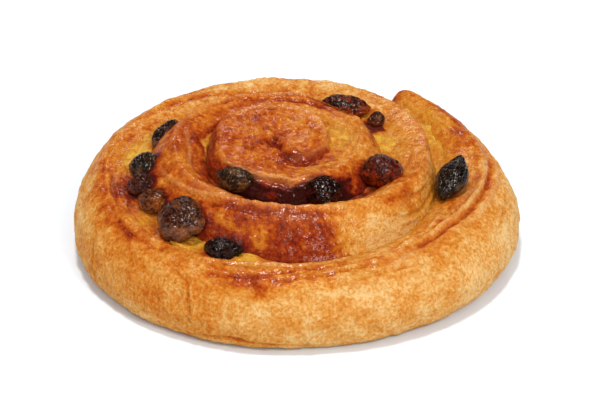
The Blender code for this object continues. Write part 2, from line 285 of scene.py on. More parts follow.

# Cracks between the layers of dough, lifted flakes, and ridges where the depth is negative: a path of (turn,
# place), its half width, its depth, how far its outer lip stands up, and how much browner it is drawn,
# partly browning and partly painted shade in the crack; a negative amount paints a highlight along a ridge
CRACKS = (
    (((4.02, .36), (4.004, .28), (3.975, .18), (3.943, .09), (3.916, .01), (3.89, .05), (3.868, .08),
      (3.838, .2)), .65, .8, .5, .22),
    (((4.025, .2), (4.0, .14), (3.972, .04), (3.943, -.06), (3.916, -.13), (3.89, -.12)),
     .5, -.55, -.2, -.14),
    (((4.03, .5), (4.004, .44), (3.975, .34), (3.945, .28), (3.915, .2)), .5, -.45, -.2, -.1),
    (((4.04, .10), (4.0, -.06), (3.965, -.16), (3.93, -.25), (3.9, -.28)), .5, .45, .35, .1),
    (((3.99, .62), (3.965, .66), (3.94, .74)), .5, .4, .2, .15),
    (((4.0, .85), (3.97, .9), (3.95, 1.05)), .4, .35, .2, .12),
    (((3.75, .35), (3.79, .25), (3.83, .12), (3.87, 0)), .4, .4, .3, .12),
    (((3.66, .45), (3.685, .62), (3.69, .9), (3.695, 1.3)), .4, .5, .4, .12),
    (((3.69, 1.45), (3.72, 1.3), (3.75, 1.42), (3.78, 1.5)), .4, .5, .3, .25),
    (((3.595, 1.2), (3.585, .9), (3.575, .65)), .4, .35, .2, .15),
    (((3.80, .5), (3.83, .38), (3.86, .42), (3.88, .5)), .5, .35, .3, .05),
    (((3.56, .1), (3.6, .2), (3.65, .22)), .5, .35, .2, .12),
    (((3.50, -.5), (3.53, -.3), (3.57, -.25)), .5, .4, .2, .2),
    (((3.43, -.1), (3.49, .05), (3.54, .02)), .5, .35, .3, .1),
    (((2.90, .3), (2.93, .5), (2.96, .6)), .5, .35, .2, .15),
    (((2.808, .12), (2.812, .4), (2.817, .7), (2.821, .95)), .5, .3, .4, .05),
    (((2.88, .5), (2.9, .75), (2.93, .85), (2.97, .8)), .5, .35, .25, .14),
    (((3.86, -.5), (3.9, -.6), (3.94, -.75)), .5, .35, .25, .12),
    (((3.88, -.2), (3.91, -.35), (3.95, -.45)), .5, .35, .25, .12),
    (((2.54, .43), (2.58, .34), (2.624, .25), (2.66, .15), (2.70, .07), (2.775, .04), (2.825, .06),
      (2.85, .21)), .5, -.7, -.25, -.12),
    (((2.61, .5), (2.66, .36), (2.71, .27), (2.775, .23), (2.825, .26), (2.86, .4)), .4, .3, .05, .12),
    (((2.42, -.2), (2.46, -.38), (2.5, -.48), (2.54, -.42), (2.58, -.36)), .45, -.45, -.2, -.06),
    (((2.66, .36), (2.70, .26), (2.75, .22), (2.80, .26)), .45, .35, .1, .14),
    (((3.69, 0), (3.705, -.3), (3.724, -.6), (3.742, -.72), (3.775, -.3), (3.80, -.6), (3.824, -.9)),
     .5, -.6, -.25, -.1),
    (((3.69, .42), (3.71, .34), (3.726, .27), (3.758, .1), (3.791, 0), (3.82, -.1)), .45, .6, .1, .16),
    (((2.11, .35), (2.15, .2), (2.19, .25)), 2.4, 1.5, 0, .06),
    (((1.08, .78), (1.2, .78), (1.32, .78), (1.44, .78)), 1.5, -.9, 0, 0),
    (((2.1, -.78), (2.2, -.78), (2.3, -.78), (2.4, -.78)), 1.5, -.9, 0, 0),
    (((3.40, -.12), (3.36, -.2), (3.331, -.3), (3.288, -.5), (3.24, -.62)), .9, .35, .15, .24),
    (((2.12, -.45), (2.16, -.4), (2.201, -.43), (2.24, -.35), (2.287, -.25), (2.33, -.1)), .6, .3, .2, .18),
    (((1.62, .05), (1.66, -.08), (1.694, -.13), (1.727, -.1), (1.768, .04), (1.801, .2), (1.84, .25)),
     .45, -.5, -.2, -.1),
    (((1.67, .12), (1.70, .12), (1.74, .25), (1.78, .38), (1.81, .48)), .6, .35, .1, .25),
    (((2.42, -.35), (2.5, -.45), (2.58, -.4)), .6, .4, .2, .1),
    (((1.60, .04), (1.68, .05), (1.76, .06), (1.84, .04)), .5, -.45, -.2, 0),
    (((.875, -.95), (.85, -.6), (.835, -.2), (.83, .2), (.84, .6), (.86, .97)), 1.0, 1.2, .3, .22),
    (((.98, .4), (1.05, .25), (1.12, .1), (1.2, .02), (1.28, 0), (1.34, 0)), .45, -.4, -.1, -.06),
    (((.96, 0), (1.05, -.15), (1.12, -.25), (1.25, -.3), (1.38, -.28), (1.5, -.2)), .6, .3, .1, .1),
    (((2.08, .1), (2.2, .1), (2.3, .05), (2.4, .05), (2.5, .1)), .5, -.4, -.1, -.05),
    (((2.1, -.35), (2.2, -.4), (2.3, -.45), (2.4, -.4)), .6, .3, .15, .08),
    (((3.05, .3), (3.12, .25), (3.2, .2), (3.3, .1)), .5, .35, .25, .08),
    (((1.08, .35), (1.18, .4), (1.28, .45)), .45, .35, .3, .08),
    (((1.92, -.2), (1.97, -.25), (2.03, -.2)), .5, .35, .3, .05),
    (((2.93, -.5), (2.98, -.55), (3.03, -.4)), .5, .3, .2, .05),
)
CRACK_WANDERS = 0.22    # how far a crack strays from its path; a ridge strays by RIDGE_WANDERS of that
RIDGE_WANDERS = 0.4
LIP_OFFSET = 1.9        # a crack's lip stands this many half widths beside it
TINT_SPREAD = 1.3       # and its browning and painted shade are this many times as wide as the crack
EYE_DIMPLE = 1.3        # the middle has sunk by this much, over this radius
EYE_RADIUS = 1.9
EYE_STAIN = 2.6         # and is browner over this one
# The crust's unevenness: its height, the size of its swellings, and the number of its pattern
LUMPS = ((0.22, 9, 0), (0.2, 4, 2), (0.08, 1.6, 5), (0.07, 0.9, 3))
LAYERS = 0.12           # height of the long streaks that the layers of the dough draw along the strip
PLEATS = 0.15           # height of the upright wrinkles of the free wall
BLISTERS = 0.09         # height of the blisters on top, and how much higher they are near the eye
MORE_AT_EYE = 0.06

normal = outward(points, row, column)
# The relief ends where the strip goes down into its creases, and at its cut end
top_ends = np.where(turns > TAIL - 0.9, 1 - ease(1.75, 2, place), 1 - ease(0.86, 1, place))
seen = ease(-1, -0.85, place) * top_ends * (1 - ease(TAIL - 0.004, TAIL - 0.001, turns))
wall = ease(0.35, 0.8, place) * ease(TAIL - 1, TAIL - 0.85, turns)
drawn_out = np.stack([length * 0.16, place * 9, turns], 1)
pleated = np.stack([length, place * 4, turns * 3], 1)
blisters = 1 - 2.2 * np.abs(cloud(points, 2.4, 6))
relief = LAYERS * cloud(drawn_out, 1.5, 4) + PLEATS * wall * (1 - 2.2 * np.abs(cloud(pleated, 2.2, 7)))
for high, reach, pattern in LUMPS:
    relief += high * cloud(points, reach, pattern)
relief += (BLISTERS + MORE_AT_EYE * (turns < 2)) * blisters * (1 - wall)
crack_browning_and_shading = np.zeros(len(points))
syrup_sheen = np.zeros(len(points))
wander = CRACK_WANDERS * cloud(points, 2.2, 11)
# In each crack the crust is drawn darker, partly browning and partly painted shade; a negative amount draws
# it paler along a ridge, a painted highlight
for path, wide, deep, lip, tint in CRACKS:
    away, share = near_path(points, turns, path)
    away = np.abs(away + wander * (RIDGE_WANDERS if lip < 0 else 1))
    fade = np.sin(np.pi * np.clip(share, 0.03, 0.97))**0.5
    relief -= deep * fade * np.exp(-(away / wide)**2)
    relief += lip * fade * np.exp(-((away - LIP_OFFSET * wide) / wide)**2)
    crack_browning_and_shading += tint * fade * np.exp(-(away / (TINT_SPREAD * wide))**2)
    # a ridge also takes the painted pinkish highlight
    if lip < 0:
        syrup_sheen = np.maximum(syrup_sheen, fade * np.exp(-(away / wide)**2))
from_eye = np.hypot(points[:, 0] - EYE[0], points[:, 1] - EYE[1])
dimple = np.exp(-(from_eye / EYE_RADIUS)**2)
points = points + normal * (relief * seen)[:, None]
points[:, 2] = np.maximum(points[:, 2] - EYE_DIMPLE * dimple * seen, 0)

# How brown the crust is, 0 pale to 1 nearly burnt, along the inner slope, the crest and the outer slope
INNER_BAKE = ((.2, .62), (1.0, .55), (1.3, .58), (1.8, .54), (2.05, .38), (2.3, .58), (2.5, .68),
              (2.75, .58), (3.05, .38), (3.3, .38), (3.45, .38), (3.54, .6), (3.66, .32), (3.8, .34),
              (3.95, .33), (4.05, .46), (TAIL, .34))
CREST_BAKE = ((.2, .6), (1.1, .52), (1.3, .56), (1.75, .52), (1.98, .42), (2.25, .5), (2.4, .4), (2.56, .46),
              (2.75, .56), (2.86, .34), (3.0, .38), (3.14, .34), (3.25, .24), (3.4, .32), (3.52, .46),
              (3.6, .4), (3.75, .42), (3.95, .36), (4.06, .44), (TAIL, .28))
OUTER_BAKE = ((.2, .6), (.7, .6), (.91, .72), (1, .56), (1.4, .64), (1.55, .82), (1.77, 1), (1.86, .96),
              (1.93, .5), (2.1, .5), (2.5, .6), (2.72, .64), (2.79, .6), (2.82, .58), (2.835, .3),
              (2.95, .24), (3.1, .42), (3.3, .25), (3.65, .25), (3.8, .2), (TAIL, .18))
# Browner or paler spots: turn, place, half length in mm, half width across, and how much browner
SPOTS = (
    (.87, .8, 3, .5, .15), (.88, .56, 3, .35, .16), (.92, .9, 4, .3, .14), (1, 0, 5, .4, .06),
    (1.223, -.46, 4, .3, -.08), (1.43, .98, 9, .08, -.3), (1.43, .98, 9, .16, -.25),
    (1.45, .4, 5, .4, .12), (1.5, -.3, 4, .4, .08), (1.54, .75, 5, .3, .2), (1.575, .9, 4, .25, .2),
    (1.69, .3, 3, .25, .2), (1.7, .3, 5, .2, .12), (1.72, .26, 4, .14, .25), (1.735, .42, 3.5, .2, .3),
    (1.77, .32, 4, .14, .25), (1.785, .55, 4, .2, .28), (1.81, .42, 3, .14, .2), (1.82, .5, 3, .3, .15),
    (1.89, .5, 2.5, .25, .16), (1.896, .11, 5, .3, .17), (2.03, .48, 2.5, .25, .22),
    (2.06, .85, 3, .25, .25), (2.08, .9, 1.6, .4, .3), (2.25, 0, 14, .5, .05), (2.38, -.9, 4, .2, .25),
    (2.4, .3, 4, .3, .08), (2.43, -.95, 3, .3, .1), (2.44, -.98, 10, .07, -.5),
    (2.44, -.98, 9, .14, -.22), (2.444, -.06, 7, .3, .24), (2.444, -.06, 6, .25, .08),
    (2.45, -.85, 5, .25, .1), (2.45, -.6, 4, .25, .16), (2.484, -.72, 7, .2, -.08),
    (2.5, -.7, 4, .25, .1), (2.512, 0, 6, .3, .15), (2.581, -.25, 5, .3, .14), (2.69, .5, 5, .2, -.07),
    (2.69, .75, 5, .25, .16), (2.692, .44, 3, .15, -.1), (2.692, .44, 4, .2, -.1), (2.7, .2, 2, .1, .16),
    (2.7, .3, 8, .12, .1), (2.714, .55, 3, .16, -.12), (2.72, .35, 5, .15, .08), (2.72, .61, 3, .18, .2),
    (2.725, .35, 2.5, .16, .18), (2.735, .6, 4, .2, -.12), (2.755, .2, 3, .14, .2),
    (2.757, .3, .8, .2, -.1), (2.76, .95, 9, .15, .08), (2.772, .42, .7, .2, -.2),
    (2.785, .3, 2.5, .16, .24), (2.79, .5, .7, .25, -.16), (2.8, .75, 4, .35, .06),
    (2.834, .72, 3, .3, -.14), (2.871, .7, 4, .2, .08), (2.91, .41, 5, .25, .3), (2.91, .45, 4, .2, .12),
    (2.94, .09, 7, .3, .18), (2.975, .1, 4, .2, .02), (3.02, .3, 4, .3, .05), (3.18, 0, 9, .6, -.1),
    (3.28, .1, 6, .3, .03), (3.296, -.15, 5, .25, -.12), (3.329, -.1, 5, .25, .08),
    (3.33, .1, 6, .25, .06), (3.367, -.15, 5, .3, .1), (3.42, -.3, 5, .3, .08), (3.444, -.35, 5, .3, .1),
    (3.5, .8, 8, .3, -.06), (3.53, .1, 5, .2, .1), (3.54, -.55, 4, .25, .2), (3.55, -.8, 5, .25, .25),
    (3.57, .45, 6, .2, .1), (3.585, .05, 6, .25, .1), (3.6, .25, 9, .16, .2), (3.6, .9, 14, .3, .06),
    (3.618, .36, 5, .25, .08), (3.624, .53, 8, .25, .12), (3.66, 1.05, 4, .25, .14),
    (3.672, .76, 8, .3, .08), (3.7, .2, 2.5, .1, .16), (3.7, 1, 4, .2, .1), (3.719, .52, 5, .2, .16),
    (3.73, 1.35, 9, .3, .08), (3.735, .3, 4, .14, .2), (3.735, .5, 5, .2, .08), (3.74, .5, 9, .2, .07),
    (3.746, .23, 3.5, .14, -.08), (3.755, .35, 2.5, .14, .12), (3.76, .4, 9, .16, .1),
    (3.765, 1.8, 9, .25, -.08), (3.795, .3, 4, .2, -.08), (3.8, .22, 4, .14, .2),
    (3.81, .58, 7, .16, -.16), (3.814, .18, 4.5, .16, -.22), (3.814, .18, 4.5, .16, -.06),
    (3.84, .05, 2, .12, .16), (3.86, .95, 6, .15, .08), (3.862, -.05, 4, .25, -.16),
    (3.862, -.05, 4, .25, -.07), (3.865, -.1, 2, .12, .14), (3.885, .1, 3, .1, .14),
    (3.9, .3, 5, .15, .1), (3.906, .97, 5, .3, -.06), (3.906, .97, 4, .3, -.02), (3.93, .95, 4, .3, .12),
    (3.94, .94, 5, .3, -.13), (3.94, .94, 4, .3, -.05), (3.95, .4, 5, .2, -.06),
    (3.956, -.05, 4, .2, .05), (3.97, 1.1, 8, .4, -.06), (4.055, -.25, 4, .2, .26),
    (4.075, .15, 4, .2, .22), (4.093, .08, 4, .2, .1), (4.093, .1, 5, .2, .09), (4.125, .1, 4, .8, .18),
)
# Where custard has run over the dough, and the lips painted with a pinkish highlight, partly dried syrup:
# turn, place, half length in mm, half width across, and how strongly
YELLOW = (
    (1.05, .9, 5, .2, .6), (1.43, .99, 8, .05, .6), (2.06, -.7, 8, .6, 1), (2.1, .95, 5, .2, .6),
    (2.44, -.98, 10, .07, .8), (2.48, -1, 9, .18, .7), (2.58, .95, 3, .2, .5), (2.665, .95, 3, .2, .8),
    (2.72, .95, 3, .2, .8), (3.075, -.9, 8, .45, .8), (3.09, -.8, 5, .4, .5), (3.475, -.8, 6, .5, 1),
    (3.6, -.75, 5, .5, .9), (3.672, -.75, 4, .5, 1), (3.722, -.65, 4, .5, 1), (4.03, -.75, 6, .3, .6),
    (4.09, -.7, 9, .3, .75), (4.09, -.55, 10, .4, 1),
)
PINK_SHEEN = (
    (1, .5, 9, .2, .5), (1.25, .55, 14, .2, .6), (1.74, .05, 9, .18, .8), (2.64, 0, 9, .12, .5),
    (2.75, .02, 16, .1, .35), (2.78, .3, 9, .2, .15), (3.07, -.02, 12, .22, .7), (3.525, -.5, 4, .2, .4),
    (3.76, -.5, 8, .14, .7), (3.86, .12, 6, .2, .4), (3.97, -.15, 8, .2, .5),
)
# How brown the custard in the creases is, 0 yellow to 1 nearly burnt
BROWNED = ((START, 1), (.8, .9), (.95, .6), (1.03, .2), (1.08, .2), (1.15, .45), (1.25, .75), (1.38, .6),
           (1.44, .5), (1.56, .58), (1.65, .9), (1.75, .95), (1.9, .8), (2, .4), (2.05, .2), (2.075, .3),
           (2.085, .9), (2.105, .8), (2.12, .3),
           (2.2, .55), (2.35, .6), (2.44, .2), (2.49, .15), (2.53, .75), (2.57, .7), (2.6, .25), (2.625, .5),
           (2.66, .12), (2.69, .4), (2.722, .1), (2.75, .45), (2.8, .42), (2.9, .36), (3, .32), (3.05, .2),
           (TAIL - 1, .22))
# Each raisin: place along the crease, distance outside it, height above it, then length, width and
# thickness, then the turn away from the crease's own direction, the rise of its nose and its lean
RAISINS = {
    "raisin_back_left": (2.429, -2.3, 2.4, 11.5, 4.4, 4.0, 0, -8, 35),
    "raisin_left_rear": (2.512, -2.8, 2.9, 7.4, 6.6, 4.8, 0, 0, 24),
    "raisin_left": (2.550, -1.6, 2.5, 6.0, 6.4, 4.2, 10, 0, 22),
    "raisin_left_front": (2.588, -1.9, 2.8, 7.8, 6.2, 4.4, 8, 4, 30),
    "raisin_large": (2.648, -1.4, 4.4, 12.4, 10.4, 6.8, 4, 3, 36),
    "raisin_dark": (2.703, .2, 1.8, 8.6, 6.0, 4.6, 6, 0, 20),
    "raisin_inner_left": (1.667, -1.5, 3.7, 9.4, 5.8, 4.8, 6, 2, 30),
    "raisin_inner_front": (1.838, -1.9, 3.3, 9.4, 7.8, 5.6, -40, -4, 18),
    "raisin_plump": (1.945, .4, 3.4, 9.2, 9.0, 7.8, 20, 0, 10),
    "raisin_rear": (2.150, 1.6, 2.2, 12.2, 6.2, 4.6, 20, 0, -16),
    "raisin_small": (2.099, 2.8, 1.9, 4.4, 4.2, 3.2, 0, 0, -20),
    "raisin_right": (2.976, 3.4, 4.4, 14.4, 7.4, 5.2, -14, 18, -14),
}
# Each raisin darkens the dough round it, partly a stain of sugar that boiled out of it and partly painted
# contact shade: how much, and how far in mm
STAIN_AND_SHADE = 0.34
STAIN_AND_SHADE_REACH = 1.3
COLLAR = 0.3            # the dough and custard have risen this far up round each one
LEAVES_TRAY = 0.45      # how brown the underside is
# A flaky, browner panel on the second turn's front wall, as a spot, and where its torn edge runs
PANEL = (2.775, .55, 8, .5)
PANEL_ENDS = 2.806
PANEL_SLANTS = 0.016


def raisin_place(name):
    """The raisin's middle in millimetres, and the matrix that turns it."""
    turn, outside, lift, *_, twist, rise, lean = RAISINS[name]
    away = float(along(CREASE, turn)) + outside
    angle = 2 * math.pi * turn
    middle = np.array([EYE[0] + away * math.cos(angle), EYE[1] + away * math.sin(angle),
                       float(along(CREASE_HEIGHT, turn)) + lift])
    heading = angle + math.pi / 2 + math.radians(twist)
    return middle, np.array(Euler((math.radians(lean), -math.radians(rise), heading)).to_matrix())


def near_raisin(points, name):
    """1 at and in a raisin, falling to 0 away from it."""
    middle, spin = raisin_place(name)
    measures = np.array(RAISINS[name][3:6])
    depth = np.linalg.norm(((points - middle) @ spin) / (measures / 2), axis=1)
    beyond = np.maximum((depth - 1) * np.mean(measures) / 2, 0)
    return np.exp(-(beyond / STAIN_AND_SHADE_REACH)**2)


# The browning follows the tables along the strip, with wavering edges
warp_turn = turns + 0.010 * cloud(points, 4, 21) / np.maximum(1, from_eye / 12)
warp_place = place + 0.16 * cloud(points, 4, 22)
to_inner = ease(0.1, 0.75, -warp_place)
to_outer = ease(0.1, 0.75, warp_place)
bake_and_shade = along(CREST_BAKE, turns) * (1 - to_inner - to_outer)
bake_and_shade += along(INNER_BAKE, turns) * to_inner + along(OUTER_BAKE, turns) * to_outer
for *spot, amount in SPOTS:
    bake_and_shade += amount * patch(warp_turn, warp_place, spot)
uneven = 0.11 * cloud(points, 2.2, 32) + 0.1 * cloud(points, 1.1, 33)
bake_and_shade += 0.07 * cloud(points, 6, 31) + (1 - 0.6 * wall) * uneven
panel = patch(turns, place, PANEL) * (turns < PANEL_ENDS + PANEL_SLANTS * place)
flaked = np.stack([length * 1.6, place * 1.2, turns], 1)
bake_and_shade += panel * (0.19 + 0.16 * cloud(flaked, 1.6, 34))
layered = np.stack([length * 0.3, place * 12, turns * 5], 1)
bake_and_shade += 0.07 * cloud(layered, 1.6, 36)
# Adds the cracks' browning, painted shade and painted highlight, makes the crust darker in the hollows of
# its relief and paler on its bumps, and makes it browner round the eye
bake_and_shade += crack_browning_and_shading - 0.12 * relief * seen + 0.3 * np.exp(-(from_eye / EYE_STAIN)**2)
# A crease is yellow where custard fills it; where the dough lies bare, painted shade darkens it
crease_turn = np.where(place > 0, turns, turns - 1)
yellow = 1 - ease(0.2, 0.6, np.interp(crease_turn, *np.transpose(BROWNED)))
joined = ease(2.76, 2.8, crease_turn) * (1 - ease(2.98, 3.02, crease_turn))
crease_shade = ease(0.86, 0.94, crease_turn) * (1 - joined) * (1 - yellow) * (1 - wall)
bake_and_shade += 0.24 * ease(0.7, 1, np.abs(place)) * crease_shade
# The dark ring round each raisin: partly sugar stain, partly painted contact shade
stain_and_shade = np.zeros(len(points))
for name in RAISINS:
    near = near_raisin(points, name)
    stain_and_shade = np.maximum(stain_and_shade, STAIN_AND_SHADE * near)
    points[:, 2] += COLLAR * seen * near
bake_and_shade += stain_and_shade
bake_and_shade += 0.3 * ease(TAIL - 0.012, TAIL - 0.002, turns) * ease(-1, -0.5, place) * (place < 1.3)
# Only the wall in front of the core is nearly burnt
darkest = 0.78 + 0.22 * ease(1.6, 1.7, turns) * (1 - ease(1.92, 1.96, turns)) * ease(0.3, 0.6, place)
darkest = np.where(from_eye < 9, 0.84, darkest) + stain_and_shade / 2
bake_and_shade = np.where(place > 2, LEAVES_TRAY, np.minimum(bake_and_shade, darkest))
custard_run = yellow * ease(0.45, 0.85, np.abs(place)) * (crease_turn > 0.9) * (1 - wall)
for *spot, amount in YELLOW:
    custard_run = np.maximum(custard_run, amount * patch(warp_turn, warp_place, spot))
custard_run = np.maximum(custard_run, 0.22 * (1 - wall) * ease(0.1, 0.7, cloud(points, 5, 35)))
custard_run *= 1 - ease(0.55, 0.75, bake_and_shade)
for *spot, amount in PINK_SHEEN:
    syrup_sheen = np.maximum(syrup_sheen, amount * patch(warp_turn, warp_place, spot))
# The brush left more glaze on what is brown, and hardly any on the free wall
glaze = np.clip(0.45 + 0.8 * (bake_and_shade - 0.3) + 0.4 * syrup_sheen, 0, 1)
unbrushed = ease(0.1, 0.6, place) * ease(TAIL - 1, TAIL - 0.85, turns)
glaze *= (1 - 0.85 * unbrushed) * (1 - 0.5 * panel)

# The bake layer holds the browning together with painted shade in creases, in cracks and round raisins, and
# painted highlight on ridges
set_points(dough, points)
for label, values in (("bake_and_shade", bake_and_shade), ("custard_run", custard_run), ("syrup_sheen", syrup_sheen), ("glaze", glaze)):
    add_layer(dough.data, label, values)
close_up(dough)


def new_material(name):
    made = bpy.data.materials.new(name)
    made.use_nodes = True
    tree = made.node_tree
    return made, tree, tree.nodes["Principled BSDF"]


def attribute(tree, name):
    """The number that add_layer gave each point."""
    node = tree.nodes.new("ShaderNodeAttribute")
    node.attribute_name = name
    return node.outputs["Fac"]


def connect(tree, socket, value):
    """Links a socket to the value, or sets it there where the value is a plain one."""
    if isinstance(value, (int, float, tuple)):
        socket.default_value = value
    else:
        tree.links.new(value, socket)


def sum_of(tree, *terms):
    """Adds up terms given as (value, factor)."""
    total = 0
    for value, factor in terms:
        node = tree.nodes.new("ShaderNodeMath")
        node.operation = "MULTIPLY_ADD"
        connect(tree, node.inputs[0], value)
        connect(tree, node.inputs[1], factor)
        connect(tree, node.inputs[2], total)
        total = node.outputs[0]
    return total


def mottle(tree, size_mm, detail=3, squash=(1, 1, 1)):
    """Noise on the piece itself, with spots of about the given size."""
    where = tree.nodes.new("ShaderNodeTexCoord")
    mapping = tree.nodes.new("ShaderNodeMapping")
    mapping.inputs["Scale"].default_value = squash
    tree.links.new(where.outputs["Object"], mapping.inputs["Vector"])
    node = tree.nodes.new("ShaderNodeTexNoise")
    node.inputs["Scale"].default_value = 1 / (size_mm * MM)
    node.inputs["Detail"].default_value = detail
    node.inputs["Roughness"].default_value = 0.6
    tree.links.new(mapping.outputs["Vector"], node.inputs["Vector"])
    return node.outputs["Fac"]


def ramp(tree, factor, stops):
    """The colour at this factor, from stops of (position, colour)."""
    node = tree.nodes.new("ShaderNodeValToRGB")
    elements = node.color_ramp.elements
    while len(elements) < len(stops):
        elements.new(0.5)
    for element, (position, colour) in zip(elements, stops):
        element.position = position
        element.color = colour
    tree.links.new(factor, node.inputs["Fac"])
    return node.outputs["Color"]


def blend_colours(tree, factor, under, over):
    node = tree.nodes.new("ShaderNodeMix")
    node.data_type = "RGBA"
    connect(tree, node.inputs["Factor"], factor)
    connect(tree, node.inputs["A"], under)
    connect(tree, node.inputs["B"], over)
    return node.outputs["Result"]


def bump(tree, height, distance_mm):
    """The surface's direction, where a height of 1 stands up by this distance."""
    node = tree.nodes.new("ShaderNodeBump")
    node.inputs["Distance"].default_value = distance_mm * MM
    tree.links.new(height, node.inputs["Height"])
    return node.outputs["Normal"]


def finish(shader, sockets):
    """Sets the plain values of a finish on the shader's own sockets."""
    for socket, value in sockets.items():
        shader.inputs[socket].default_value = value


STUDIO = 1.08           # how much brighter the studio's light makes a surface than its own colour
# The crust as it looks at each stage of browning, from pale to nearly burnt
BAKED = ((0.0, (242, 200, 136)), (0.2, (230, 166, 86)), (0.35, (219, 139, 52)), (0.5, (203, 107, 27)),
         (0.65, (180, 74, 14)), (0.8, (140, 40, 12)), (0.92, (96, 22, 12)), (1.0, (60, 14, 9)))


def seen_as(red, green, blue):
    """The colour a surface needs so that it looks like this on screen under the studio's light."""
    return tuple(v / STUDIO for v in linear(red, green, blue)[:3]) + (1,)


crust, tree, shader = new_material("glazed_crust")
BLACK = (0, 0, 0, 1)
WHITE = (1, 1, 1, 1)
THIN_LINES = [(0.45, BLACK), (0.5, WHITE), (0.55, BLACK)]
SYRUP_SHEEN_PINK = seen_as(224, 146, 84)
RUN_CUSTARD = [(0.3, seen_as(216, 153, 42)), (0.6, seen_as(200, 118, 24))]
grain = mottle(tree, 0.75, 4)
blotches = mottle(tree, 2.6, 3)
creases = ramp(tree, mottle(tree, 1.9, 3, (1, 1, 0.45)), THIN_LINES)
# The browner the crust, the less its grain shows
grain_share = sum_of(tree, (attribute(tree, "bake_and_shade"), -0.8), (1, 1.1))
grain_browning = sum_of(tree, (grain, 1), (1, -0.5))
browning = sum_of(tree, (grain_browning, grain_share), (blotches, 0.24), (creases, 0.03), (1, -0.13),
                  (attribute(tree, "bake_and_shade"), 1))
colour = ramp(tree, browning, [(at, seen_as(*look)) for at, look in BAKED])
# The painted pinkish highlight on lips and ridges, partly dried syrup, goes over the crust's colour
colour = blend_colours(tree, sum_of(tree, (attribute(tree, "syrup_sheen"), 0.7)), colour, SYRUP_SHEEN_PINK)
golden = ramp(tree, sum_of(tree, (grain, 0.9), (blotches, 0.5), (1, -0.2)), RUN_CUSTARD)
colour = blend_colours(tree, sum_of(tree, (attribute(tree, "custard_run"), 0.85)), colour, golden)
tree.links.new(colour, shader.inputs["Base Color"])
roughness = sum_of(tree, (attribute(tree, "glaze"), -0.2), (grain, 0.2), (1, 0.6))
tree.links.new(roughness, shader.inputs["Roughness"])
tree.links.new(sum_of(tree, (attribute(tree, "glaze"), 0.8)), shader.inputs["Coat Weight"])
finish(shader, {
    "Coat Roughness": 0.15, "Coat IOR": 1.42, "Specular IOR Level": 0.05, "Subsurface Weight": 0.1,
    "Subsurface Radius": (0.0025, 0.0012, 0.0005), "Subsurface Scale": 1.0})
skin_height = sum_of(tree, (grain, 1), (mottle(tree, 0.45, 3), 0.5), (blotches, 0.8), (creases, -0.16))
tree.links.new(bump(tree, skin_height, 0.7), shader.inputs["Normal"])
shine = sum_of(tree, (blotches, 1), (mottle(tree, 1.2, 2), 0.5))
tree.links.new(bump(tree, shine, 0.32), shader.inputs["Coat Normal"])
dough.data.materials.append(crust)
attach(dough, "root")
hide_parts("dough_coil")

# The custard: vanilla custard spread thinly on the dough before it was rolled up. It shows as a sheet
# between the turns and wells up in the creases, yellow where it is thick and browned where it is thin.
CUSTARD = 1.2           # thickness of the sheet
CUSTARD_FLOOR = 0.5     # it stops this far above the tray
CUSTARD_SHORT = 0.02    # turns by which it stops short of the strip's start
TAIL_SHORT = 0.012      # and of the end of its last full turn
LAP = 0.7               # where it wells up, its edges run this far into the dough
LEAST_LIP = 0.35        # it is wider than the sheet by at least this on each side there
MOST_LIP = 3.6          # and reaches no further than this from the middle of the slit
CLIMB = 0.35            # its edges climb this much above its middle, and then dive into the dough
DIVE = 1.2
NECK = 0.3              # the sheet is full width this far below the top of the custard
# How far the custard wells up above the crease; below it where the dough has closed over it
WELL = ((START, -1), (.8, -1), (.9, 0), (1.03, .9), (1.09, .8), (1.17, -1.4), (1.35, -1.4), (1.56, -1.4),
        (1.63, 0), (1.7, 0), (1.95, 0), (2.05, .7), (2.1, .7), (2.18, -1.4), (2.36, -1.4), (2.43, .7),
        (2.48, .9), (2.54, .2), (2.6, .8), (2.63, .5), (2.67, .7), (2.69, .5), (2.72, .7), (2.77, -.6),
        (2.8, -1.4), (3.0, -1.4), (3.05, .6), (TAIL - 1, .5))
CUSTARD_ROWS = 900
ACROSS = 13


def wall_radius(turn, level, places):
    """Radius where the slope over the given places reaches a height."""
    radii, heights = strip_point(np.full(len(places), turn), places)
    return np.interp(level, heights, radii)


custard_turns = np.linspace(START + CUSTARD_SHORT, TAIL - 1 - TAIL_SHORT, CUSTARD_ROWS)
down_outer = np.linspace(0.999, 0, 30)
up_inner = np.linspace(-0.999, 0, 30)
share = np.linspace(0, 1, ACROSS)
edge = np.abs(2 * share - 1)
sections = []
for turn in custard_turns:
    crease = along(CREASE, turn)
    foot = along(CREASE_HEIGHT, turn)
    level = foot + along(WELL, turn)
    left = crease - wall_radius(turn, level + CLIMB, down_outer) + LAP
    right = wall_radius(turn + 1, level + CLIMB, up_inner) + LAP - crease
    left = crease - np.clip(left, CUSTARD / 2 + LEAST_LIP, MOST_LIP)
    right = crease + np.clip(right, CUSTARD / 2 + LEAST_LIP, MOST_LIP)
    top = np.stack([left + (right - left) * share, level + CLIMB * edge**3 - DIVE * (edge > 0.99)], 1)
    low = min(foot, level - NECK)
    near = [(crease - CUSTARD / 2, CUSTARD_FLOOR), (crease - CUSTARD / 2, low)]
    far = [(crease + CUSTARD / 2, low), (crease + CUSTARD / 2, CUSTARD_FLOOR)]
    sections.append(np.concatenate([near, top, far, near[:1]]))
sections = np.array(sections)
custard, row, column = flat_grid("custard_filling", *sections.shape[:2])
radius, height = sections[row, column].T
angle = 2 * np.pi * custard_turns[row]
points = np.stack([EYE[0] + radius * np.cos(angle), EYE[1] + radius * np.sin(angle), height], 1)
on_top = (column >= 2) & (column < 2 + ACROSS)
points[:, 2] += on_top * (0.3 * cloud(points, 3, 41) + 0.2 * cloud(points, 1.3, 42))
browned_and_shade = along(BROWNED, custard_turns[row])
browned_and_shade += 0.16 * cloud(points, 2.4, 43) + 0.14 * cloud(points, 1.2, 44)
